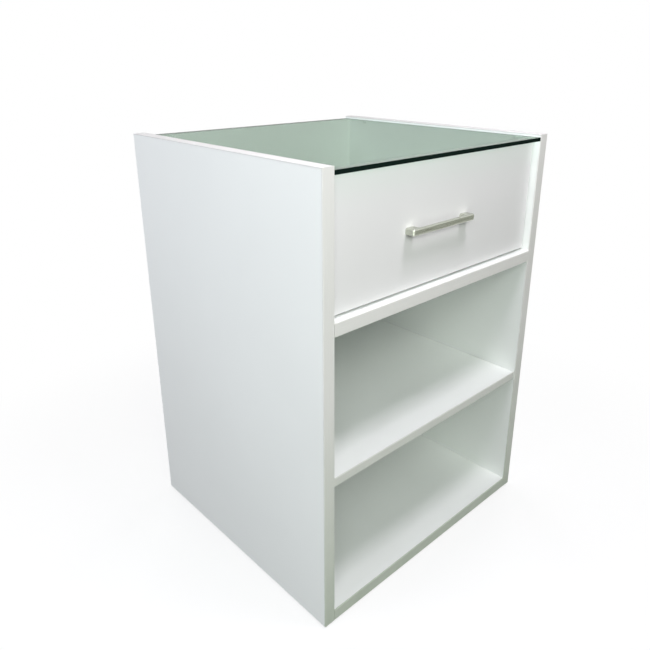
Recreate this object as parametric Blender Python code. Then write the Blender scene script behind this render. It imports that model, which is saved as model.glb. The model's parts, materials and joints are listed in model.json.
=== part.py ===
"""Shop counter with a glass top over a drawer on roller runners, and two open bays below it.

Metres, +Z up. The staff side, with the drawer, faces -Y, and the customer side is closed.
The origin is on the floor under the middle of the counter.
"""

import math
from collections import defaultdict

import bmesh
import bpy
from mathutils import Matrix, Vector

# Overall sizes; the depth is taken over the handle
WIDTH = 0.650
DEPTH = 0.600
HEIGHT = 0.900

# Boards, edging and glass
BOARD = 0.025
SHELF_BOARD = 0.018
BACK_BOARD = 0.018
EDGING = 0.002
EDGING_RADIUS = 0.0009
GLASS = 0.008
GLASS_DROP = 0.006
GLASS_SIDE_GAP = 0.001
GLASS_ARRIS = 0.0008
FIT = 0.0003

# Bays, from the base upwards
LOWER_BAY = 0.290
DRAWER_BAY = 0.243
SHELF_SETBACK = 0.003
SHELF_END_GAP = 0.0007

# Drawer
DRAWER_SETBACK = 0.016
DRAWER_FRONT_BOARD = 0.018
DRAWER_FRONT_GAP = 0.0025
DRAWER_FRONT_LIFT = 0.0055
DRAWER_FRONT_RADIUS = 0.001
DRAWER_SIDE_BOARD = 0.015
DRAWER_SIDE_HEIGHT = 0.100
DRAWER_SIDE_RADIUS = 0.001
DRAWER_BASE_BOARD = 0.006
DRAWER_BASE_RISE = 0.010
DRAWER_GROOVE = 0.006
DRAWER_FLOOR_GAP = 0.016
DRAWER_REAR_ROOM = 0.044

# Handle, left of the drawer's middle and below it
HANDLE_LENGTH = 0.183
HANDLE_HEIGHT = 0.013
HANDLE_PROJECTION = 0.020
HANDLE_BAR = 0.008
HANDLE_LEG = 0.023
HANDLE_OUTER_RADIUS = 0.004
HANDLE_INNER_RADIUS = 0.005
HANDLE_ARRIS = 0.003
HANDLE_OFFSET = -0.021
HANDLE_DROP = 0.005
HANDLE_SCREW_RADIUS = 0.002
HANDLE_SCREW_HEAD = 0.004
HANDLE_SCREW_HEAD_HEIGHT = 0.0025
HANDLE_SCREW_GRIP = 0.007

# Roller runners
RUNNER_GAP = 0.0125
RUNNER_SHEET = 0.0012
RUNNER_BEND = 0.0012
RUNNER_START = 0.002
RUNNER_LOWER_FLANGE = 0.0092
RUNNER_UPPER_FLANGE = 0.0042
RUNNER_ROLLER_ROOM = 0.0007
DRAWER_FLANGE = 0.0067
DRAWER_SEAT = 0.012
DRAWER_SEAT_TO_ROLLER = 0.005
ROLLER_RADIUS = 0.011
ROLLER_WIDTH = 0.007
ROLLER_EDGE = 0.0008
ROLLER_SIDE_GAP = 0.0006
ROLLER_RECESS = 0.0016
ROLLER_RECESS_RADIUS = 0.0055
ROLLER_SET_IN = 0.025
AXLE_RADIUS = 0.0025
AXLE_HEAD_RADIUS = 0.0045

# Screws of the runners
SCREW_RADIUS = 0.0015
SCREW_LENGTH = 0.012
SCREW_HEAD_RADIUS = 0.0035
SCREW_HEAD_HEIGHT = 0.0012
SCREW_SET_IN = 0.070

# Shelf pins, glass studs, glides and dowels
PIN_RADIUS = 0.0025
PIN_IN_SIDE = 0.009
PIN_COLLAR_RADIUS = 0.0045
PIN_COLLAR = 0.0015
PIN_REACH = 0.010
PIN_SET_IN = 0.060
STUD_RADIUS = 0.003
STUD_REACH = 0.007
GLIDE_DROP = 0.003
GLIDE_RADIUS = 0.009
GLIDE_EDGE = 0.001
GLIDE_NAIL_RADIUS = 0.0012
GLIDE_NAIL = 0.012
GLIDE_SET_IN = 0.050
DOWEL_RADIUS = 0.004
DOWEL_IN_SIDE = 0.012
DOWEL_IN_END = 0.018
DOWEL_CHAMFER = 0.001
DOWEL_SET_IN = 0.080

# How finely round shapes are drawn
TURN_SIDES = 20
HOLE_SIDES = 16
ARC_STEPS = 4
SHARP_DEGREES = 35
MERGE = 0.000001
CUT_MARGIN = 0.001

# Places worked out from the sizes
inner = WIDTH / 2 - BOARD
handle_proud = max(HANDLE_PROJECTION - DRAWER_SETBACK, 0)
front = -DEPTH / 2 + handle_proud
rear = DEPTH / 2
back_face = rear - BACK_BOARD
floor = GLIDE_DROP
glass_high = HEIGHT - GLASS_DROP
glass_low = glass_high - GLASS
deck_high = glass_low - DRAWER_BAY
deck_low = deck_high - BOARD
base_high = floor + BOARD
shelf_low = base_high + LOWER_BAY
shelf_high = shelf_low + SHELF_BOARD
core_front = front + EDGING + FIT
drawer_face = front + DRAWER_SETBACK
drawer_inside = drawer_face + DRAWER_FRONT_BOARD
drawer_outer = inner - RUNNER_GAP
drawer_low = deck_high + DRAWER_FLOOR_GAP
drawer_high = drawer_low + DRAWER_SIDE_HEIGHT
drawer_rear = back_face - DRAWER_REAR_ROOM
drawer_base_low = drawer_low + DRAWER_BASE_RISE
drawer_base_high = drawer_base_low + DRAWER_BASE_BOARD
front_low = deck_high + DRAWER_FRONT_LIFT
front_high = glass_low - DRAWER_FRONT_GAP
roller_height = drawer_low + DRAWER_SEAT_TO_ROLLER
runner_screw = (SCREW_RADIUS, SCREW_LENGTH, SCREW_HEAD_RADIUS, SCREW_HEAD_HEIGHT)
handle_screw_length = DRAWER_FRONT_BOARD + HANDLE_SCREW_GRIP
handle_screw = (HANDLE_SCREW_RADIUS, handle_screw_length, HANDLE_SCREW_HEAD, HANDLE_SCREW_HEAD_HEIGHT)
SIDES = (("left", -1), ("right", 1))

holes = defaultdict(list)


def clear_scene():
    for obj in list(bpy.data.objects):
        bpy.data.objects.remove(obj, do_unlink=True)


def finish(name, colour, roughness, metallic=0.0, transmission=0.0):
    """A Principled material of one colour."""
    made = bpy.data.materials.new(name)
    made.use_nodes = True
    shader = made.node_tree.nodes["Principled BSDF"]
    shader.inputs["Base Color"].default_value = (*colour, 1.0)
    shader.inputs["Roughness"].default_value = roughness
    shader.inputs["Metallic"].default_value = metallic
    shader.inputs["Transmission Weight"].default_value = transmission
    return made


def body(name, place=(0, 0, 0)):
    """An empty that carries the pieces of one rigid body."""
    empty = bpy.data.objects.new(name, None)
    bpy.context.scene.collection.objects.link(empty)
    empty.location = place
    return empty


def carry(obj, carrier):
    """Parents an object that is placed in world space."""
    obj.parent = carrier
    obj.matrix_parent_inverse = Matrix.Translation(-carrier.location)


def add_object(name, bm, origin, carrier, made_of=None):
    """Turns a bmesh drawn in world space into an object with its own origin at the given point."""
    origin = Vector(origin)
    bmesh.ops.recalc_face_normals(bm, faces=bm.faces)
    if bm.calc_volume(signed=True) < 0:
        bmesh.ops.reverse_faces(bm, faces=bm.faces)
    bmesh.ops.translate(bm, verts=bm.verts, vec=-origin)
    mesh = bpy.data.meshes.new(name)
    bm.to_mesh(mesh)
    bm.free()
    mesh.shade_smooth()
    mesh.set_sharp_from_angle(angle=math.radians(SHARP_DEGREES))
    if made_of:
        mesh.materials.append(made_of)
    obj = bpy.data.objects.new(name, mesh)
    bpy.context.scene.collection.objects.link(obj)
    obj.location = origin
    carry(obj, carrier)
    return obj


def add_block(bm, low, high):
    low, high = Vector(low), Vector(high)
    size = Matrix.Diagonal((*(high - low), 1))
    bmesh.ops.create_cube(bm, size=1, matrix=Matrix.Translation((low + high) / 2) @ size)


def add_rod(bm, start, end, radius, sides=HOLE_SIDES):
    start, end = Vector(start), Vector(end)
    turn = (end - start).to_track_quat("Z", "Y").to_matrix().to_4x4()
    place = Matrix.Translation((start + end) / 2) @ turn
    depth = (end - start).length
    bmesh.ops.create_cone(
        bm, cap_ends=True, segments=sides, radius1=radius, radius2=radius, depth=depth, matrix=place
    )


def board(name, low, high, made_of, carrier, radius=0.0):
    """A flat board or pane between two corners, with its edges eased by a radius."""
    bm = bmesh.new()
    add_block(bm, low, high)
    if radius:
        bmesh.ops.bevel(bm, geom=bm.edges[:], offset=radius, segments=2, profile=0.5, affect="EDGES")
    return add_object(name, bm, (Vector(low) + Vector(high)) / 2, carrier, made_of)


def prism(name, outline, sweep, made_of, carrier, arris=0.0, seat=0.0):
    """A closed outline of points, swept along a vector; an arris eases its rims, but none at a seat's Y."""
    bm = bmesh.new()
    face = bm.faces.new([bm.verts.new(point) for point in outline])
    swept = bmesh.ops.extrude_face_region(bm, geom=[face])["geom"]
    moved = [item for item in swept if isinstance(item, bmesh.types.BMVert)]
    bmesh.ops.translate(bm, verts=moved, vec=sweep)
    if arris:
        along = Vector(sweep).normalized()
        rims = [edge for edge in bm.edges if abs((edge.verts[1].co - edge.verts[0].co).dot(along)) < MERGE]
        eased = [edge for edge in rims if any(abs(vert.co.y - seat) > MERGE for vert in edge.verts)]
        bmesh.ops.bevel(bm, geom=eased, offset=arris, segments=ARC_STEPS, profile=0.5, affect="EDGES")
    centre = sum((Vector(point) for point in outline), Vector()) / len(outline) + Vector(sweep) / 2
    return add_object(name, bm, centre, carrier, made_of)


def turned(name, profile, start, axis, made_of, carrier, ring=False):
    """A solid of revolution from (distance along the axis, radius) pairs, closed to a loop for a ring."""
    bm = bmesh.new()
    verts = [bm.verts.new((radius, 0, along)) for along, radius in profile]
    pairs = list(zip(verts, verts[1:]))
    if ring:
        pairs.append((verts[-1], verts[0]))
    edges = [bm.edges.new(pair) for pair in pairs]
    geom = verts + edges
    bmesh.ops.spin(
        bm, geom=geom, cent=(0, 0, 0), axis=(0, 0, 1), angle=math.tau, steps=TURN_SIDES, use_merge=True
    )
    bmesh.ops.remove_doubles(bm, verts=bm.verts, dist=MERGE)
    turn = Vector(axis).to_track_quat("Z", "Y").to_matrix().to_4x4()
    bm.transform(Matrix.Translation(start) @ turn)
    return add_object(name, bm, start, carrier, made_of)


def rounded(points, radii, closed=True):
    """An outline of 2-D points with each corner rounded to its own radius."""
    points = [Vector(point) for point in points]
    result = []
    for index, (point, radius) in enumerate(zip(points, radii)):
        at_end = index in (0, len(points) - 1) and not closed
        if at_end or not radius:
            result.append(point)
            continue
        back = (points[index - 1] - point).normalized()
        ahead = (points[(index + 1) % len(points)] - point).normalized()
        half = back.angle(ahead) / 2
        centre = point + (back + ahead).normalized() * radius / math.sin(half)
        first = (point + back * radius / math.tan(half) - centre).normalized()
        last = (point + ahead * radius / math.tan(half) - centre).normalized()
        result += [centre + first.slerp(last, step / ARC_STEPS) * radius for step in range(ARC_STEPS + 1)]
    return result


def sheet(path, thickness):
    """The outline of a bent sheet: its middle line moved by half the thickness to each side."""
    offsets = []
    for index, point in enumerate(path):
        before = point - path[index - 1] if index else path[1] - point
        after = path[index + 1] - point if index + 1 < len(path) else before
        normals = [Vector((-way.y, way.x)).normalized() for way in (before, after)]
        mitre = normals[0] + normals[1]
        offsets.append(mitre * thickness / mitre.length_squared)
    one_side = [point + offset for point, offset in zip(path, offsets)]
    other_side = [point - offset for point, offset in zip(path, offsets)]
    return one_side + other_side[::-1]


def drill(node, start, end, radius):
    """Notes a round hole to be cut in a piece."""
    holes[node].append((add_rod, start, end, radius))


def groove(node, low, high):
    """Notes a square groove to be cut in a piece."""
    holes[node].append((add_block, low, high))


def cut_all():
    """Cuts every noted hole and groove, with one cutter for each piece."""
    for node, shapes in holes.items():
        target = bpy.data.objects[node]
        bm = bmesh.new()
        for add, *sizes in shapes:
            add(bm, *sizes)
        cutter = add_object(node + "_cutter", bm, target.location, target.parent)
        combine(target, cutter, "DIFFERENCE")


def combine(target, tool, operation):
    """Joins or cuts a piece with a helper that isn't rendered."""
    tool.hide_render = True
    tool.display_type = "WIRE"
    modifier = target.modifiers.new(tool.name, "BOOLEAN")
    modifier.object = tool
    modifier.operation = operation
    modifier.solver = "EXACT"


def along_x(value):
    return Vector((value, 0, 0))


def make_carcass(carrier, melamine):
    """Side panels, back, base, drawer deck and middle shelf."""
    core_top = HEIGHT - EDGING - FIT
    for side, sign in SIDES:
        edges = sorted((sign * inner, sign * WIDTH / 2))
        low = (edges[0], core_front, floor)
        high = (edges[1], rear, core_top)
        board(f"{side}_side_panel", low, high, melamine, carrier)
    reach = inner - FIT
    board("back_panel", (-reach, back_face, floor), (reach, rear, glass_low - FIT), melamine, carrier)
    end = back_face - FIT
    board("base_panel", (-reach, core_front, floor), (reach, end, base_high), melamine, carrier)
    board("drawer_deck", (-reach, core_front, deck_low), (reach, end, deck_high), melamine, carrier)
    shelf_reach = inner - SHELF_END_GAP
    shelf_front = core_front + SHELF_SETBACK
    shelf_end = back_face - SHELF_END_GAP
    low = (-shelf_reach, shelf_front, shelf_low)
    board("middle_shelf", low, (shelf_reach, shelf_end, shelf_high), melamine, carrier)


def make_edging(carrier, plastic):
    """Plastic strips glued to the edges that show, with their outer corners rounded."""
    for side, sign in SIDES:
        centre = sign * (inner + BOARD / 2)
        section = strip_section(BOARD)
        outline = [(centre + u, front + v, floor) for u, v in section]
        prism(f"{side}_front_edging", outline, (0, 0, HEIGHT - floor), plastic, carrier)
        start = front + EDGING + FIT
        outline = [(centre + u, start, HEIGHT - v) for u, v in section]
        prism(f"{side}_top_edging", outline, (0, rear - start, 0), plastic, carrier)
    rows = (
        ("base_edging", floor, base_high, front, inner - FIT),
        ("deck_edging", deck_low, deck_high, front, inner - FIT),
        ("shelf_edging", shelf_low, shelf_high, front + SHELF_SETBACK, inner - SHELF_END_GAP),
    )
    for name, low, high, face, reach in rows:
        middle = (low + high) / 2
        outline = [(-reach, face + v, middle + u) for u, v in strip_section(high - low)]
        prism(name, outline, (2 * reach, 0, 0), plastic, carrier)


def strip_section(width):
    """The section of an edging strip: across the board, and back from its face."""
    half = width / 2
    corners = [(-half, EDGING), (half, EDGING), (half, 0), (-half, 0)]
    return rounded(corners, (0, 0, EDGING_RADIUS, EDGING_RADIUS))


def make_glass(carrier, glass, plastic):
    """The glass top and the studs that carry it, let into the side panels."""
    reach = inner - GLASS_SIDE_GAP
    board("glass_top", (-reach, front, glass_low), (reach, rear, glass_high), glass, carrier, GLASS_ARRIS)
    height = glass_low - FIT - STUD_RADIUS
    profile = [
        (-PIN_IN_SIDE, 0),
        (-PIN_IN_SIDE, PIN_RADIUS),
        (0, PIN_RADIUS),
        (0, STUD_RADIUS),
        (STUD_REACH, STUD_RADIUS),
        (STUD_REACH, 0),
    ]
    for end, depth in (("front", front + PIN_SET_IN), ("rear", back_face - PIN_SET_IN)):
        for side, sign in SIDES:
            add_wall_pin(f"glass_stud_{end}_{side}", profile, sign, depth, height, plastic, carrier)


def make_shelf_pins(carrier, steel):
    """Pins with a collar, let into the side panels under the middle shelf."""
    height = shelf_low - FIT - PIN_RADIUS
    profile = [
        (-PIN_IN_SIDE, 0),
        (-PIN_IN_SIDE, PIN_RADIUS),
        (0, PIN_RADIUS),
        (0, PIN_COLLAR_RADIUS),
        (PIN_COLLAR, PIN_COLLAR_RADIUS),
        (PIN_COLLAR, PIN_RADIUS),
        (PIN_REACH, PIN_RADIUS),
        (PIN_REACH, 0),
    ]
    collar_room = PIN_COLLAR_RADIUS - PIN_RADIUS
    for end, depth in (("front", front + PIN_SET_IN), ("rear", back_face - PIN_SET_IN)):
        for side, sign in SIDES:
            name = f"shelf_pin_{end}_{side}"
            add_wall_pin(name, profile, sign, depth, height - collar_room, steel, carrier)


def add_wall_pin(name, profile, sign, depth, height, made_of, carrier):
    """A turned pin that stands out of a side panel, with its hole."""
    wall = Vector((sign * inner, depth, height))
    inward = along_x(-sign)
    turned(name, profile, wall + inward * FIT, inward, made_of, carrier)
    panel = "left_side_panel" if sign < 0 else "right_side_panel"
    drill(panel, wall + inward * CUT_MARGIN, wall - inward * (PIN_IN_SIDE + FIT), PIN_RADIUS + FIT)


def make_glides(carrier, plastic):
    """Nail-on glides under the side panels."""
    profile = [
        (0, 0),
        (0, GLIDE_RADIUS - GLIDE_EDGE),
        (GLIDE_EDGE, GLIDE_RADIUS),
        (GLIDE_DROP - FIT, GLIDE_RADIUS),
        (GLIDE_DROP - FIT, GLIDE_NAIL_RADIUS),
        (GLIDE_DROP + GLIDE_NAIL, GLIDE_NAIL_RADIUS),
        (GLIDE_DROP + GLIDE_NAIL, 0),
    ]
    for end, depth in (("front", front + GLIDE_SET_IN), ("rear", rear - GLIDE_SET_IN)):
        for side, sign in SIDES:
            foot = Vector((sign * (inner + BOARD / 2), depth, 0))
            turned(f"glide_{end}_{side}", profile, foot, (0, 0, 1), plastic, carrier)
            top = foot + Vector((0, 0, floor + GLIDE_NAIL + FIT))
            low = foot + Vector((0, 0, floor - CUT_MARGIN))
            drill(f"{side}_side_panel", low, top, GLIDE_NAIL_RADIUS + FIT)


def make_dowels(carrier, beech):
    """Glued dowels between the side panels and the ends of the deck and the base."""
    length = DOWEL_IN_SIDE + DOWEL_IN_END
    profile = [
        (0, 0),
        (0, DOWEL_RADIUS - DOWEL_CHAMFER),
        (DOWEL_CHAMFER, DOWEL_RADIUS),
        (length - DOWEL_CHAMFER, DOWEL_RADIUS),
        (length, DOWEL_RADIUS - DOWEL_CHAMFER),
        (length, 0),
    ]
    ends = (("front", front + DOWEL_SET_IN), ("rear", back_face - DOWEL_SET_IN))
    rows = (("deck", "drawer_deck", deck_high - BOARD / 2), ("base", "base_panel", base_high - BOARD / 2))
    for short, node, height in rows:
        for end, depth in ends:
            for side, sign in SIDES:
                joint = Vector((sign * inner, depth, height))
                outward = along_x(sign)
                start = joint + outward * DOWEL_IN_SIDE
                turned(f"dowel_{short}_{end}_{side}", profile, start, -outward, beech, carrier)
                radius = DOWEL_RADIUS + FIT
                stop = joint - outward * (DOWEL_IN_END + FIT)
                drill(f"{side}_side_panel", joint - outward * CUT_MARGIN, start + outward * FIT, radius)
                drill(node, joint + outward * CUT_MARGIN, stop, radius)


def axle_profile(sheet_thickness):
    """A rivet through a runner's web, with its head in the roller's recess."""
    seat = ROLLER_SIDE_GAP + ROLLER_WIDTH - ROLLER_RECESS + FIT
    tip = ROLLER_SIDE_GAP + ROLLER_WIDTH - FIT
    return [
        (-sheet_thickness / 2, 0),
        (-sheet_thickness / 2, AXLE_RADIUS),
        (seat, AXLE_RADIUS),
        (seat, AXLE_HEAD_RADIUS),
        (tip, AXLE_HEAD_RADIUS),
        (tip, 0),
    ]


def add_roller(runner, name, seat, axis, carrier, roller_body, nylon):
    """A nylon roller on a rivet that is fixed in its runner."""
    rivet = turned(runner.name + "_rivet", axle_profile(RUNNER_SHEET), seat, axis, None, carrier)
    combine(runner, rivet, "UNION")
    bore = AXLE_RADIUS + FIT
    near = ROLLER_SIDE_GAP
    far = ROLLER_SIDE_GAP + ROLLER_WIDTH
    profile = [
        (near, bore),
        (far - ROLLER_RECESS, bore),
        (far - ROLLER_RECESS, ROLLER_RECESS_RADIUS),
        (far, ROLLER_RECESS_RADIUS),
        (far, ROLLER_RADIUS - ROLLER_EDGE),
        (far - ROLLER_EDGE, ROLLER_RADIUS),
        (near + ROLLER_EDGE, ROLLER_RADIUS),
        (near, ROLLER_RADIUS - ROLLER_EDGE),
    ]
    turned(name, profile, seat, axis, nylon, roller_body, ring=True)


def add_screw(name, seat, axis, sizes, made_of, carrier):
    """A screw whose head stands on its seat and whose shank runs the other way."""
    radius, length, head_radius, head_height = sizes
    profile = [
        (-length, 0),
        (-length, radius),
        (0, radius),
        (0, head_radius),
        (head_height, head_radius),
        (head_height, 0),
    ]
    turned(name, profile, Vector(seat) + Vector(axis) * FIT, axis, made_of, carrier)


def make_cabinet_runners(carrier, steel, zinc, nylon):
    """Channels on the side panels, open towards the drawer, each with a roller near its front end."""
    web = FIT + RUNNER_SHEET / 2
    low = roller_height - ROLLER_RADIUS - FIT - RUNNER_SHEET / 2
    high = roller_height + ROLLER_RADIUS + RUNNER_ROLLER_ROOM + RUNNER_SHEET / 2
    corners = [(FIT + RUNNER_LOWER_FLANGE, low), (web, low), (web, high), (FIT + RUNNER_UPPER_FLANGE, high)]
    section = sheet(rounded(corners, [RUNNER_BEND] * len(corners), closed=False), RUNNER_SHEET)
    start = drawer_inside + RUNNER_START
    length = drawer_rear - start
    for side, sign in SIDES:
        outline = [(sign * (inner - u), start, z) for u, z in section]
        runner = prism(f"cabinet_runner_{side}", outline, (0, length, 0), steel, carrier)
        inward = along_x(-sign)
        face = sign * (inner - FIT - RUNNER_SHEET)
        seat = Vector((face, start + ROLLER_SET_IN, roller_height))
        roller_body = body(f"cabinet_roller_body_{side}", seat)
        add_roller(runner, f"cabinet_roller_{side}", seat, inward, carrier, roller_body, nylon)
        for end, depth in (("front", start + SCREW_SET_IN), ("rear", drawer_rear - SCREW_SET_IN)):
            spot = Vector((face, depth, roller_height))
            name = f"cabinet_runner_screw_{end}_{side}"
            add_screw(name, spot, inward, runner_screw, zinc, carrier)
            tip = spot - inward * (SCREW_LENGTH + FIT)
            drill(runner.name, spot + inward * CUT_MARGIN, tip, SCREW_RADIUS + FIT)
            drill(f"{side}_side_panel", spot, tip, SCREW_RADIUS + FIT)


def make_drawer_runners(carrier, steel, zinc, nylon):
    """Z-shaped members under the drawer sides: seat, web and a flange that runs on the cabinet's roller."""
    web = RUNNER_GAP - FIT - RUNNER_SHEET / 2
    seat_height = drawer_low - FIT - RUNNER_SHEET / 2
    flange_height = roller_height + ROLLER_RADIUS + FIT + RUNNER_SHEET / 2
    corners = [
        (RUNNER_GAP + DRAWER_SEAT, seat_height),
        (web, seat_height),
        (web, flange_height),
        (RUNNER_GAP - DRAWER_FLANGE, flange_height),
    ]
    section = sheet(rounded(corners, [RUNNER_BEND] * len(corners), closed=False), RUNNER_SHEET)
    start = drawer_inside + FIT
    for side, sign in SIDES:
        outline = [(sign * (inner - u), start, z) for u, z in section]
        runner = prism(f"drawer_runner_{side}", outline, (0, drawer_rear - start, 0), steel, carrier)
        outward = along_x(sign)
        face = sign * (inner - RUNNER_GAP + FIT + RUNNER_SHEET)
        seat = Vector((face, drawer_rear - ROLLER_SET_IN, roller_height))
        roller_body = body(f"drawer_roller_body_{side}", seat)
        carry(roller_body, carrier)
        add_roller(runner, f"drawer_roller_{side}", seat, outward, carrier, roller_body, nylon)
        middle = sign * (drawer_outer - DRAWER_SIDE_BOARD / 2)
        under = seat_height - RUNNER_SHEET / 2
        for end, depth in (("front", start + SCREW_SET_IN), ("rear", drawer_rear - SCREW_SET_IN)):
            spot = Vector((middle, depth, under))
            name = f"drawer_runner_screw_{end}_{side}"
            down = Vector((0, 0, -1))
            add_screw(name, spot, down, runner_screw, zinc, carrier)
            tip = spot - down * (SCREW_LENGTH + FIT)
            drill(runner.name, spot + down * CUT_MARGIN, tip, SCREW_RADIUS + FIT)
            drill(f"drawer_side_{side}", spot, tip, SCREW_RADIUS + FIT)


def make_drawer(carrier, melamine):
    """Drawer front, sides, back, and a base let into grooves."""
    reach = inner - DRAWER_FRONT_GAP
    low = (-reach, drawer_face, front_low)
    high = (reach, drawer_inside, front_high)
    board("drawer_front", low, high, melamine, carrier, DRAWER_FRONT_RADIUS)
    box_front = drawer_inside + FIT
    side_inner = drawer_outer - DRAWER_SIDE_BOARD
    base_reach = side_inner + DRAWER_GROOVE - FIT
    groove_low = drawer_base_low - FIT
    groove_high = drawer_base_high + FIT
    for side, sign in SIDES:
        edges = sorted((sign * side_inner, sign * drawer_outer))
        low = (edges[0], box_front, drawer_low)
        high = (edges[1], drawer_rear, drawer_high)
        board(f"drawer_side_{side}", low, high, melamine, carrier, DRAWER_SIDE_RADIUS)
        edges = sorted((sign * (side_inner - CUT_MARGIN), sign * (side_inner + DRAWER_GROOVE)))
        groove_start = (edges[0], box_front - CUT_MARGIN, groove_low)
        groove_end = (edges[1], drawer_rear + CUT_MARGIN, groove_high)
        groove(f"drawer_side_{side}", groove_start, groove_end)
    back_reach = side_inner - FIT
    back_low = (-back_reach, drawer_rear - DRAWER_SIDE_BOARD, drawer_base_high + FIT)
    back_high = (back_reach, drawer_rear, drawer_high)
    board("drawer_back", back_low, back_high, melamine, carrier, DRAWER_SIDE_RADIUS)
    base_start = (-base_reach, drawer_inside - DRAWER_GROOVE + FIT, drawer_base_low)
    base_end = (base_reach, drawer_rear, drawer_base_high)
    board("drawer_base", base_start, base_end, melamine, carrier)
    groove(
        "drawer_front",
        (-base_reach - FIT, drawer_inside - DRAWER_GROOVE, groove_low),
        (base_reach + FIT, drawer_inside + CUT_MARGIN, groove_high),
    )


def make_handle(carrier, nickel, zinc):
    """A die-cast bridge handle with broad legs, held by two screws from inside the drawer."""
    half = HANDLE_LENGTH / 2
    gap_half = half - HANDLE_LEG
    seat = -FIT
    inside = -HANDLE_PROJECTION + HANDLE_BAR
    corners = [
        (-half, seat),
        (-half, -HANDLE_PROJECTION),
        (half, -HANDLE_PROJECTION),
        (half, seat),
        (gap_half, seat),
        (gap_half, inside),
        (-gap_half, inside),
        (-gap_half, seat),
    ]
    outer, fillet = HANDLE_OUTER_RADIUS, HANDLE_INNER_RADIUS
    outline = rounded(corners, (0, outer, outer, 0, 0, fillet, fillet, 0))
    middle = (front_low + front_high) / 2 - HANDLE_DROP
    low = middle - HANDLE_HEIGHT / 2
    points = [(HANDLE_OFFSET + u, drawer_face + v, low) for u, v in outline]
    prism("handle", points, (0, 0, HANDLE_HEIGHT), nickel, carrier, HANDLE_ARRIS, drawer_face + seat)
    for side, sign in SIDES:
        across = HANDLE_OFFSET + sign * (half - HANDLE_LEG / 2)
        spot = Vector((across, drawer_inside, middle))
        inward = Vector((0, 1, 0))
        add_screw(f"handle_screw_{side}", spot, inward, handle_screw, zinc, carrier)
        tip = spot - inward * (handle_screw_length + FIT)
        drill("drawer_front", spot + inward * CUT_MARGIN, tip, HANDLE_SCREW_RADIUS + FIT)
        drill("handle", spot, tip, HANDLE_SCREW_RADIUS + FIT)


def main():
    clear_scene()
    melamine = finish("white_melamine", (0.82, 0.83, 0.82), 0.35)
    edging = finish("white_edging", (0.74, 0.76, 0.72), 0.40)
    glass = finish("green_float_glass", (0.62, 0.80, 0.70), 0.02, transmission=1.0)
    nickel = finish("satin_nickel", (0.52, 0.53, 0.47), 0.35, metallic=1.0)
    zinc = finish("zinc_plated_steel", (0.62, 0.62, 0.60), 0.35, metallic=1.0)
    epoxy = finish("white_epoxy_steel", (0.80, 0.80, 0.78), 0.45)
    nylon = finish("white_nylon", (0.84, 0.84, 0.80), 0.50)
    clear = finish("pale_plastic", (0.78, 0.80, 0.78), 0.30)
    grey = finish("grey_plastic", (0.30, 0.30, 0.30), 0.55)
    beech = finish("beech", (0.62, 0.42, 0.25), 0.60)

    carcass = body("carcass")
    make_carcass(carcass, melamine)
    make_edging(carcass, edging)
    make_glass(carcass, glass, clear)
    make_shelf_pins(carcass, nickel)
    make_glides(carcass, grey)
    make_dowels(carcass, beech)
    make_cabinet_runners(carcass, epoxy, zinc, nylon)

    drawer = body("drawer", (0, drawer_face, roller_height))
    make_drawer(drawer, melamine)
    make_drawer_runners(drawer, epoxy, zinc, nylon)
    make_handle(drawer, nickel, zinc)
    cut_all()


main()
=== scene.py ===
"""Looks of the shop counter: procedural finishes, cross-head screws, floor, studio light and camera.

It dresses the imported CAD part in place, in metres: +Z up, the drawer faces -Y, the floor is at z = 0.
"""

import json
import math

import bmesh
import bpy
from mathutils import Euler, Matrix, Vector

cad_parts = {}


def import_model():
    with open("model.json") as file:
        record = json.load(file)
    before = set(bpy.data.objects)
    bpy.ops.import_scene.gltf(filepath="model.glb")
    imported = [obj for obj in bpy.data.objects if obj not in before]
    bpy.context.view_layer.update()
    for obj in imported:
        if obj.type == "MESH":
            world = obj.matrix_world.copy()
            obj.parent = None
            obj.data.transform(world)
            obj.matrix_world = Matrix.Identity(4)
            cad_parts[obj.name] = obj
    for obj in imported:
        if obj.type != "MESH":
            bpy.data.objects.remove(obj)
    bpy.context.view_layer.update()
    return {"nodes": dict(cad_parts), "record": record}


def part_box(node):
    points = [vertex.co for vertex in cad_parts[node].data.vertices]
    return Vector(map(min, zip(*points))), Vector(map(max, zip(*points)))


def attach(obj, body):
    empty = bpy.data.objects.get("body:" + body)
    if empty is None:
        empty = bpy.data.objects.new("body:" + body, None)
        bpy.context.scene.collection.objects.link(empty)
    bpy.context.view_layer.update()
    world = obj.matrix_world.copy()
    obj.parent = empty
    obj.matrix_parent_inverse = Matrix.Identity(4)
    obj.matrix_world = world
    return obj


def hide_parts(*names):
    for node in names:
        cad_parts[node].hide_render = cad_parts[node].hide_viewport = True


# Camera, fitted to the photograph
FRAME_PIXELS = 650
FOCAL_PIXELS = 624.4
AXIS_PIXEL = (340.0, 285.0)
SENSOR = 36.0
CAMERA_PLACE = (-0.9404, -0.9790, 1.0525)
CAMERA_DEGREES = (69.954, -0.175, -43.611)

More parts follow.
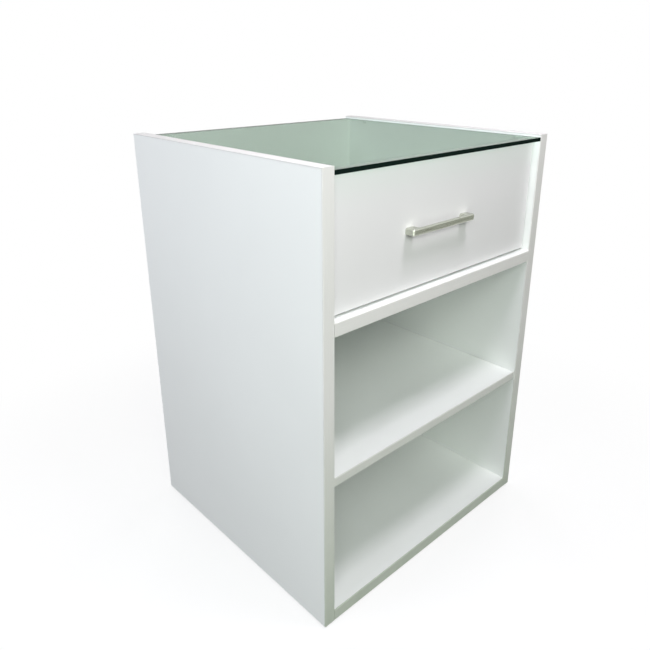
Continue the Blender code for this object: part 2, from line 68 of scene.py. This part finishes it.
# Lamps: name, place, aim, width, depth, watts, colour
LAMPS = (
    ("ceiling_lamp", (0.0, -0.66, 1.95), (0.0, -0.40, 0.60), 0.32, 0.30, 11.6, (0.97, 0.90, 1.00)),
    ("front_window", (-0.5, -2.20, 1.90), (0.0, 0.0, 0.50), 1.4, 1.0, 22.9, (0.96, 1.00, 0.93)),
    ("side_window", (-2.3, 0.10, 1.75), (0.0, 0.1, 0.60), 1.6, 1.2, 36.6, (0.91, 0.91, 1.00)),
    ("corner_fill", (-1.25, -1.45, 1.65), (0.0, 0.0, 0.50), 1.0, 1.0, 14.9, (0.95, 1.00, 0.99)),
    ("low_fill", (-1.3, -1.4, 0.25), (0.0, 0.0, 0.25), 1.4, 0.4, 3.5, (0.86, 1.00, 0.82)),
    ("right_fill", (2.70, 0.60, 0.72), (0.0, 0.2, 0.45), 1.8, 1.4, 49.0, (0.98, 0.98, 1.00)),
    ("rear_fill", (0.80, 2.70, 0.72), (0.0, 0.0, 0.45), 1.8, 1.4, 53.0, (0.98, 0.98, 1.00)),
)
UNMIRRORED_LAMPS = ("right_fill", "rear_fill")
AMBIENT = 0.02
AMBIENT_COLOUR = (0.8, 1.0, 0.8)
WHITE = (1.0, 1.0, 1.0, 1.0)

# Grey card that shows only in reflections: place, what it faces, width and height, tone
FLAG_PLACE = (1.30, -1.30, 0.36)
FLAG_AIM = (0.0, -0.30, 0.76)
FLAG_SIZE = (1.4, 1.0)
FLAG_TONE = (0.42, 0.43, 0.38, 1.0)

# Floor: its colour, what it throws back, and how it fades to white with distance
FLOOR_RADIUS = 9.0
FLOOR_SIDES = 96
FLOOR_COLOUR = (0.96, 0.96, 0.96)
FLOOR_CLOUDING = 0.98
FLOOR_ROUGHNESS = (0.65, 0.75)
FLOOR_SHEEN = 0.2
FLOOR_BOUNCE = (0.05, 0.05, 0.05)
FLOOR_FADE = (0.4, 1.2)
FLOOR_GLOW = (0.68, 1.0)

# Glass: mirroring shares and tints, which change between a square view and a grazing one
GLASS_IOR = 1.52
FRESNEL_SPAN = (0.05, 0.40)
SQUARE_SHARE = 1.0
GRAZING_SHARE = 0.12
EDGE_SHARE = 0.03
SQUARE_TINT = (0.95, 0.985, 0.965)
GRAZING_TINT = (0.676, 0.698, 0.672)
LIGHT_TINT = (0.88, 0.955, 0.905, 1.0)
# Painted shade for the glass edges: the colour of their near-black matte
PAINTED_EDGE_SHADE = (0.006, 0.014, 0.011, 1.0)
FACE_COSINE = 0.9

# Tones of boards and edging: the two ends of a cloudy mix
BOARD_TONES = ((0.864, 0.888, 0.868), (0.886, 0.910, 0.890))
DRAWER_FRONT_TONES = ((0.765, 0.758, 0.762), (0.785, 0.778, 0.782))
DRAWER_BOX_TONES = ((0.615, 0.625, 0.620), (0.645, 0.655, 0.650))
UNSHADED_EDGING_TONES = ((0.742, 0.732, 0.714), (0.780, 0.770, 0.752))
# Painted shade on the edging: the darker, greener tones it fades to toward the floor, up to the height below
FLOOR_SHADE_EDGING_TONES = ((0.505, 0.560, 0.470), (0.570, 0.620, 0.530))
FLOOR_SHADE_HEIGHT = 0.48

# Noise values between which a finish changes, and the depth of its grain
NOISE_LOW, NOISE_HIGH = 0.35, 0.65
GRAIN_DEPTH = 0.0001

# Round CAD shapes: edges up to this angle are shaded smooth
SMOOTH_DEGREES = 35
WELD = 0.000001

# Cross-head screws: recess and dome as shares of the head, and which CAD points are its rim or its shank
RECESS_REACH = 0.62
RECESS_WIDTH = 0.26
RECESS_DEPTH = 0.60
DOME = ((0.30, 1.00), (0.62, 0.90), (0.86, 0.66), (0.97, 0.36), (1.00, 0.0))
SCREW_SIDES = 32
SCREW_SHARP_DEGREES = 40
RIM_SHARE = 0.95
SHANK_SHARE = 0.80


class Finish:
    """A Principled material, with short ways to add nodes that vary it over the surface."""

    def __init__(self, name):
        self.made = bpy.data.materials.new(name)
        self.made.use_nodes = True
        self.tree = self.made.node_tree
        self.shader = self.tree.nodes["Principled BSDF"]
        self.output = self.tree.nodes["Material Output"]
        self.spot = self.tree.nodes.new("ShaderNodeTexCoord")

    def feed(self, socket, value):
        """Links another node's output to a socket, or sets the socket's own value."""
        if isinstance(value, bpy.types.NodeSocket):
            self.tree.links.new(value, socket)
        else:
            socket.default_value = value

    def node(self, kind, inputs, **settings):
        """Adds a shader node, with its inputs fed and its settings made."""
        made = self.tree.nodes.new("ShaderNode" + kind)
        for key, value in settings.items():
            setattr(made, key, value)
        for key, value in inputs.items():
            self.feed(made.inputs[key], value)
        return made

    def set(self, **values):
        """Sets the shader's own sockets, with underscores for the spaces in their names."""
        for key, value in values.items():
            self.feed(self.shader.inputs[key.replace("_", " ")], value)

    def noise(self, scale, detail=2.0, stretch=(1, 1, 1)):
        """Cloudy values; scale is in cycles a metre, times the stretch of each axis."""
        placed = self.node("Mapping", {"Vector": self.spot.outputs["Object"], "Scale": stretch})
        inputs = {"Vector": placed.outputs[0], "Scale": scale, "Detail": detail}
        return self.node("TexNoise", inputs).outputs[0]

    def between(self, factor, low, high, start=NOISE_LOW, end=NOISE_HIGH):
        """A number that goes from low to high as the factor goes from start to end."""
        limits = {"From Min": start, "From Max": end, "To Min": low, "To Max": high}
        return self.node("MapRange", {"Value": factor, **limits}).outputs[0]

    def tints(self, factor, low, high, start=NOISE_LOW, end=NOISE_HIGH):
        """A colour that goes from low to high as the factor goes from start to end."""
        ramp = self.node("ValToRGB", {"Fac": factor})
        for element, place, colour in zip(ramp.color_ramp.elements, (start, end), (low, high)):
            element.position = place
            element.color = (*colour, 1.0)
        return ramp.outputs["Color"]

    def bump(self, height, strength):
        """Raises a fine grain from a noise."""
        inputs = {"Height": height, "Strength": strength, "Distance": GRAIN_DEPTH}
        self.feed(self.shader.inputs["Normal"], self.node("Bump", inputs).outputs[0])

    def math(self, operation, first, second=0.0):
        """The result of a sum on one or two values."""
        return self.node("Math", {0: first, 1: second}, operation=operation).outputs[0]


def melamine(name, low, high):
    """White laminate: faint clouding, a pearl texture that breaks up reflections, and wiped patches."""
    made = Finish(name)
    made.set(Base_Color=made.tints(made.noise(3.0, 3.0), low, high))
    made.set(Roughness=made.between(made.noise(7.0, 4.0), 0.30, 0.40))
    made.bump(made.noise(650.0, 2.0), 0.12)
    return made.made


def edging(along):
    """White plastic strip with fine lines along it, with painted shade that greys and greens it toward the
    floor.
    """
    made = Finish("white_edging_" + "xyz"[along])
    stretch = [60.0] * 3
    stretch[along] = 0.5
    lines = made.noise(25.0, 3.0, stretch)
    unshaded = made.tints(lines, *UNSHADED_EDGING_TONES)
    height = made.node("SeparateXYZ", {0: made.spot.outputs["Object"]}).outputs["Z"]
    # Painted shade: the strip turns darker and greener toward the floor
    floor_shade = made.tints(made.noise(14.0, 4.0), *FLOOR_SHADE_EDGING_TONES)
    shade_share = made.between(height, 1.0, 0.0, 0.0, FLOOR_SHADE_HEIGHT)
    made.set(Base_Color=made.node("MixRGB", {"Fac": shade_share, "Color1": unshaded, "Color2": floor_shade}).outputs[0])
    made.set(Roughness=made.between(made.noise(12.0, 3.0), 0.30, 0.42))
    made.bump(lines, 0.10)
    return made.made


def float_glass():
    """Green float glass: tinted clear faces, and ground edges in painted shade, a near-black matte standing
    in for the light lost along the pane.
    """
    made = Finish("float_glass")
    made.set(Base_Color=made.tints(made.noise(4.0, 2.0), (0.91, 0.975, 0.935), (0.92, 0.98, 0.945)))
    made.set(Transmission_Weight=1.0, Roughness=0.0, IOR=GLASS_IOR)
    slant = made.node("Fresnel", {"IOR": GLASS_IOR}).outputs[0]
    tint = made.tints(slant, SQUARE_TINT, GRAZING_TINT, *FRESNEL_SPAN)
    clear = made.node("BsdfRefraction", {"Color": tint, "Roughness": 0.0, "IOR": GLASS_IOR})
    share = made.between(slant, SQUARE_SHARE, GRAZING_SHARE, *FRESNEL_SPAN)
    face = made.node("MixShader", {0: share, 1: clear.outputs[0], 2: made.shader.outputs[0]})
    # Painted shade: a near-black matte on the edges, in place of the light the glass absorbs along its length
    edge_shade = made.node("BsdfDiffuse", {"Color": PAINTED_EDGE_SHADE})
    edge = made.node("MixShader", {0: EDGE_SHARE, 1: edge_shade.outputs[0], 2: made.shader.outputs[0]})
    upward = made.node("SeparateXYZ", {0: made.spot.outputs["Normal"]}).outputs["Z"]
    is_face = made.math("GREATER_THAN", made.math("ABSOLUTE", upward), FACE_COSINE)
    pane = made.node("MixShader", {0: is_face, 1: edge.outputs[0], 2: face.outputs[0]})
    passed = made.node("BsdfTransparent", {"Color": LIGHT_TINT})
    path = made.node("LightPath", {})
    is_light = made.math("MAXIMUM", path.outputs["Is Shadow Ray"], path.outputs["Is Diffuse Ray"])
    whole = made.node("MixShader", {0: is_light, 1: pane.outputs[0], 2: passed.outputs[0]})
    made.feed(made.output.inputs["Surface"], whole.outputs[0])
    return made.made


def satin_nickel():
    """Nickel plate with lengthwise brush lines."""
    made = Finish("satin_nickel_plate")
    lines = made.noise(30.0, 4.0, (0.6, 40.0, 40.0))
    made.set(Base_Color=made.tints(lines, (0.48, 0.50, 0.43), (0.58, 0.60, 0.53)), Metallic=1.0)
    made.set(Roughness=made.between(lines, 0.24, 0.34))
    made.bump(lines, 0.15)
    return made.made


def zinc_plate():
    """Blue-white zinc plate with soft crystal patches."""
    made = Finish("zinc_plate")
    cells = made.node("TexVoronoi", {"Vector": made.spot.outputs["Object"], "Scale": 900.0})
    made.set(Base_Color=made.tints(cells.outputs["Color"], (0.55, 0.56, 0.56), (0.68, 0.68, 0.65), 0.2, 0.8))
    made.set(Metallic=1.0, Roughness=made.between(made.noise(400.0), 0.28, 0.42))
    made.bump(made.noise(1500.0), 0.1)
    return made.made


def epoxy_steel():
    """White epoxy powder coat with a light orange peel."""
    made = Finish("white_epoxy_coat")
    made.set(Base_Color=made.tints(made.noise(20.0, 3.0), (0.785, 0.785, 0.765), (0.815, 0.815, 0.795)))
    made.set(Roughness=made.between(made.noise(60.0, 3.0), 0.40, 0.50))
    made.bump(made.noise(900.0, 1.0), 0.2)
    return made.made


def moulded_plastic(name, low, high, roughness, grain):
    """Moulded plastic with the fine spark grain of its tool."""
    made = Finish(name)
    made.set(Base_Color=made.tints(made.noise(90.0, 3.0), low, high))
    made.set(Roughness=made.between(made.noise(300.0, 2.0), roughness - 0.05, roughness + 0.05))
    made.bump(made.noise(grain, 2.0), 0.15)
    return made.made


def beech():
    """Beech with fine grain along the dowel and darker flecks."""
    made = Finish("beech_dowel")
    grain = made.noise(120.0, 5.0, (0.2, 6.0, 6.0))
    made.set(Base_Color=made.tints(grain, (0.50, 0.31, 0.17), (0.68, 0.47, 0.29)))
    made.set(Roughness=made.between(grain, 0.50, 0.65))
    made.bump(grain, 0.2)
    return made.made


def dress_nodes(nodes, slots):
    """Gives each CAD node the finish of its material slot; edging strips take one that runs along them.

    The drawer gets darker copies of the laminate: a neutral white front and a pale grey box.
    """
    finishes = {
        "white_melamine": melamine("melamine_board", *BOARD_TONES),
        "green_float_glass": float_glass(),
        "satin_nickel": satin_nickel(),
        "zinc_plated_steel": zinc_plate(),
        "white_epoxy_steel": epoxy_steel(),
        "white_nylon": moulded_plastic("nylon", (0.80, 0.80, 0.76), (0.86, 0.86, 0.82), 0.45, 700.0),
        "pale_plastic": moulded_plastic("pale_stud", (0.75, 0.77, 0.75), (0.80, 0.82, 0.80), 0.30, 900.0),
        "grey_plastic": moulded_plastic("grey_glide", (0.26, 0.26, 0.26), (0.33, 0.33, 0.33), 0.55, 700.0),
        "beech": beech(),
    }
    box = melamine("melamine_drawer_box", *DRAWER_BOX_TONES)
    own = {name: box for name in ("drawer_side_left", "drawer_side_right", "drawer_back", "drawer_base")}
    own["drawer_front"] = melamine("melamine_drawer_front", *DRAWER_FRONT_TONES)
    strips = [edging(axis) for axis in range(3)]
    for name, node in nodes.items():
        low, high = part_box(name)
        size = high - low
        strip = strips[max(range(3), key=lambda axis: size[axis])]
        node.data.materials.clear()
        node.data.materials.append(own.get(name) or finishes.get(slots[name]) or strip)
    return finishes


def smoothing():
    """Geometry nodes that join the facets of a CAD mesh and shade its round faces smooth."""
    tree = bpy.data.node_groups.new("smooth_rounds", "GeometryNodeTree")
    for way in ("INPUT", "OUTPUT"):
        tree.interface.new_socket("Geometry", in_out=way, socket_type="NodeSocketGeometry")
    angle = tree.nodes.new("GeometryNodeInputMeshEdgeAngle")
    corner = tree.nodes.new("FunctionNodeCompare")
    corner.operation = "GREATER_THAN"
    corner.inputs["B"].default_value = math.radians(SMOOTH_DEGREES)
    tree.links.new(angle.outputs["Unsigned Angle"], corner.inputs["A"])
    drop = tree.nodes.new("GeometryNodeRemoveAttribute")
    drop.inputs["Name"].default_value = "custom_normal"
    weld = tree.nodes.new("GeometryNodeMergeByDistance")
    weld.inputs["Distance"].default_value = WELD
    smooth = tree.nodes.new("GeometryNodeSetShadeSmooth")
    crisp = tree.nodes.new("GeometryNodeSetShadeSmooth")
    crisp.domain = "EDGE"
    crisp.inputs["Shade Smooth"].default_value = False
    tree.links.new(corner.outputs["Result"], crisp.inputs["Selection"])
    steps = [tree.nodes.new("NodeGroupInput"), drop, weld, smooth, crisp, tree.nodes.new("NodeGroupOutput")]
    for step, after in zip(steps, steps[1:]):
        tree.links.new(step.outputs[0], after.inputs[0])
    return tree


def smooth_rounds(nodes):
    """Smooth shading for the rounded and turned CAD pieces; the glass keeps its flat faces."""
    tree = smoothing()
    for name, node in nodes.items():
        if name != "glass_top":
            node.modifiers.new("smooth_rounds", "NODES").node_group = tree
            node.modifiers.new("flat_faces_stay_flat", "WEIGHTED_NORMAL").keep_sharp = True


def lathe(profile, sides):
    """A closed solid of revolution round Z from (height, radius) pairs that start and end on the axis."""
    bm = bmesh.new()
    verts = [bm.verts.new((radius, 0, height)) for height, radius in profile]
    edges = [bm.edges.new(pair) for pair in zip(verts, verts[1:])]
    turn = {"cent": (0, 0, 0), "axis": (0, 0, 1), "angle": math.tau, "steps": sides}
    bmesh.ops.spin(bm, geom=verts + edges, use_merge=True, **turn)
    bmesh.ops.remove_doubles(bm, verts=bm.verts, dist=WELD)
    bmesh.ops.recalc_face_normals(bm, faces=bm.faces)
    return bm


def new_object(name, bm):
    """Puts a finished bmesh into the scene."""
    mesh = bpy.data.meshes.new(name)
    bm.to_mesh(mesh)
    bm.free()
    made = bpy.data.objects.new(name, mesh)
    bpy.context.scene.collection.objects.link(made)
    return made


def cross_head_screw(name, length, radius, head_radius, head_height):
    """A pan-head screw along Z with a cross recess; the top of its head is at the origin."""
    profile = [(-length, 0.0), (-length + radius, radius)]
    profile += [(-head_height, radius), (-head_height, head_radius)]
    profile += [((share - 1) * head_height, width * head_radius) for share, width in DOME]
    screw = new_object(name, lathe(profile, SCREW_SIDES))
    bm = bmesh.new()
    reach, width, depth = RECESS_REACH * head_radius, RECESS_WIDTH * head_radius, RECESS_DEPTH * head_height
    for arm in ((2 * reach, width), (width, 2 * reach)):
        bmesh.ops.create_cube(bm, size=1, matrix=Matrix.Diagonal((*arm, 2 * depth, 1)))
    cutter = new_object(name + "_recess", bm)
    cut = screw.modifiers.new("recess", "BOOLEAN")
    cut.object = cutter
    cut.use_self = True
    graph = bpy.context.evaluated_depsgraph_get()
    mesh = bpy.data.meshes.new_from_object(screw.evaluated_get(graph))
    bpy.data.objects.remove(cutter)
    bpy.data.objects.remove(screw)
    mesh.shade_smooth()
    mesh.set_sharp_from_angle(angle=math.radians(SCREW_SHARP_DEGREES))
    return mesh


def off_axis(point, axis, middle):
    """How far a point lies from the screw's axis."""
    away = point - middle
    away[axis] = 0
    return away.length


def head_end(node, axis, middle):
    """+1 or -1: the end of the screw where its widest points lie."""
    widest = max(node.data.vertices, key=lambda vert: off_axis(vert.co, axis, middle))
    return 1 if widest.co[axis] > middle[axis] else -1


def screw_sizes(node, axis, middle, across):
    """The shank's radius and the head's thickness, read from the CAD screw."""
    points = [vert.co for vert in node.data.vertices]
    reach = [off_axis(point, axis, middle) for point in points]
    rim = [point[axis] for point, away in zip(points, reach) if away > RIM_SHARE * across]
    shank = max(away for away in reach if away < SHANK_SHARE * across)
    return shank, max(rim) - min(rim)


def fit_screws(nodes, body_of, zinc):
    """Puts a cross-head screw in the place of each plain CAD screw."""
    for name in [name for name in nodes if "_screw_" in name]:
        low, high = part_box(name)
        size = high - low
        axis = max(range(3), key=lambda which: size[which])
        middle = (low + high) / 2
        head = head_end(nodes[name], axis, middle)
        across = size[(axis + 1) % 3] / 2
        shank, thickness = screw_sizes(nodes[name], axis, middle, across)
        mesh = cross_head_screw(name + "_cross", size[axis], shank, across, thickness)
        screw = bpy.data.objects.new(name + "_cross", mesh)
        bpy.context.scene.collection.objects.link(screw)
        way = Vector((0, 0, 0))
        way[axis] = head
        tip = middle.copy()
        tip[axis] = high[axis] if head > 0 else low[axis]
        screw.matrix_world = Matrix.Translation(tip) @ way.to_track_quat("Z", "Y").to_matrix().to_4x4()
        mesh.materials.clear()
        mesh.materials.append(zinc)
        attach(screw, body_of[name])
        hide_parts(name)


def seen_directly(tree):
    """1 for a ray from the camera, a mirror or glass, and 0 for light that falls on a surface."""
    path = tree.nodes.new("ShaderNodeLightPath")
    total = path.outputs["Is Camera Ray"]
    for name in ("Is Glossy Ray", "Is Transmission Ray"):
        add = tree.nodes.new("ShaderNodeMath")
        add.operation = "ADD"
        add.use_clamp = True
        tree.links.new(total, add.inputs[0])
        tree.links.new(path.outputs[name], add.inputs[1])
        total = add.outputs[0]
    return total


def make_world():
    """An even ambient light, and a white background where it is seen."""
    world = bpy.data.worlds.new("studio")
    bpy.context.scene.world = world
    world.use_nodes = True
    tree = world.node_tree
    ambient = tree.nodes["Background"]
    ambient.inputs["Color"].default_value = (*AMBIENT_COLOUR, 1.0)
    ambient.inputs["Strength"].default_value = AMBIENT
    white = tree.nodes.new("ShaderNodeBackground")
    white.inputs["Color"].default_value = WHITE
    mix = tree.nodes.new("ShaderNodeMixShader")
    tree.links.new(seen_directly(tree), mix.inputs[0])
    tree.links.new(ambient.outputs[0], mix.inputs[1])
    tree.links.new(white.outputs[0], mix.inputs[2])
    tree.links.new(mix.outputs[0], tree.nodes["World Output"].inputs["Surface"])


def make_floor():
    """A pale studio floor that takes the shadow and fades into the white background."""
    bm = bmesh.new()
    bmesh.ops.create_circle(bm, cap_ends=True, segments=FLOOR_SIDES, radius=FLOOR_RADIUS)
    floor = new_object("studio_floor", bm)
    made = Finish("studio_floor")
    seen = seen_directly(made.tree)
    clouded = [share * FLOOR_CLOUDING for share in FLOOR_COLOUR]
    shown = made.tints(made.noise(2.0, 3.0), clouded, FLOOR_COLOUR)
    colour = made.node("MixRGB", {"Fac": seen, "Color1": (*FLOOR_BOUNCE, 1.0), "Color2": shown})
    made.set(Base_Color=colour.outputs[0])
    made.set(Roughness=made.between(made.noise(5.0), *FLOOR_ROUGHNESS), Specular_IOR_Level=FLOOR_SHEEN)
    white = made.node("Emission", {"Color": WHITE, "Strength": 1.0})
    away = made.node("VectorMath", {0: made.spot.outputs["Object"]}, operation="LENGTH").outputs["Value"]
    share = made.math("MULTIPLY", made.between(away, *FLOOR_GLOW, *FLOOR_FADE), seen)
    mixed = made.node("MixShader", {0: share, 1: made.shader.outputs[0], 2: white.outputs[0]})
    made.feed(made.output.inputs["Surface"], mixed.outputs[0])
    floor.data.materials.append(made.made)


def make_lamps():
    """Soft area lamps, unseen by the camera; the fills behind don't show in the glass either."""
    for name, place, aim, width, depth, watts, colour in LAMPS:
        data = bpy.data.lights.new(name, "AREA")
        data.shape = "RECTANGLE"
        data.size, data.size_y = width, depth
        data.energy = watts
        data.color = colour
        lamp = bpy.data.objects.new(name, data)
        bpy.context.scene.collection.objects.link(lamp)
        lamp.location = place
        lamp.rotation_euler = (Vector(aim) - Vector(place)).to_track_quat("-Z", "Y").to_euler()
        lamp.visible_camera = False
        lamp.visible_glossy = lamp.visible_transmission = name not in UNMIRRORED_LAMPS


def make_flag():
    """A grey card in front of the right corner, which darkens what the handle's bar mirrors."""
    bm = bmesh.new()
    bmesh.ops.create_grid(bm, x_segments=1, y_segments=1, size=0.5)
    bmesh.ops.scale(bm, verts=bm.verts, vec=(*FLAG_SIZE, 1))
    flag = new_object("grey_flag", bm)
    flag.location = FLAG_PLACE
    flag.rotation_euler = (Vector(FLAG_AIM) - Vector(FLAG_PLACE)).to_track_quat("Z", "Y").to_euler()
    made = Finish("grey_flag")
    grey = made.node("Emission", {"Color": FLAG_TONE, "Strength": 1.0})
    made.feed(made.output.inputs["Surface"], grey.outputs[0])
    flag.data.materials.append(made.made)
    flag.visible_camera = False
    flag.visible_diffuse = False
    flag.visible_transmission = False
    flag.visible_shadow = False


def make_camera():
    """The camera at the photograph's place, with its optical axis off the middle of the frame."""
    data = bpy.data.cameras.new("camera")
    data.sensor_width = SENSOR
    data.lens = SENSOR * FOCAL_PIXELS / FRAME_PIXELS
    half = FRAME_PIXELS / 2
    data.shift_x = (half - AXIS_PIXEL[0]) / FRAME_PIXELS
    data.shift_y = (AXIS_PIXEL[1] - half) / FRAME_PIXELS
    camera = bpy.data.objects.new("camera", data)
    bpy.context.scene.collection.objects.link(camera)
    camera.location = CAMERA_PLACE
    camera.rotation_euler = Euler([math.radians(angle) for angle in CAMERA_DEGREES], "XYZ")
    bpy.context.scene.camera = camera


def main():
    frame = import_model()
    nodes = frame["nodes"]
    slots = {row["node"]: row["material_slot"] for row in frame["record"]["subparts"]}
    bodies = frame["record"]["behaviour"]["bodies"]
    body_of = {node: body for body, members in bodies.items() for node in members}
    bpy.context.scene.view_settings.view_transform = "Standard"
    make_camera()
    finishes = dress_nodes(nodes, slots)
    smooth_rounds(nodes)
    fit_screws(nodes, body_of, finishes["zinc_plated_steel"])
    make_world()
    make_floor()
    make_lamps()
    make_flag()


main()
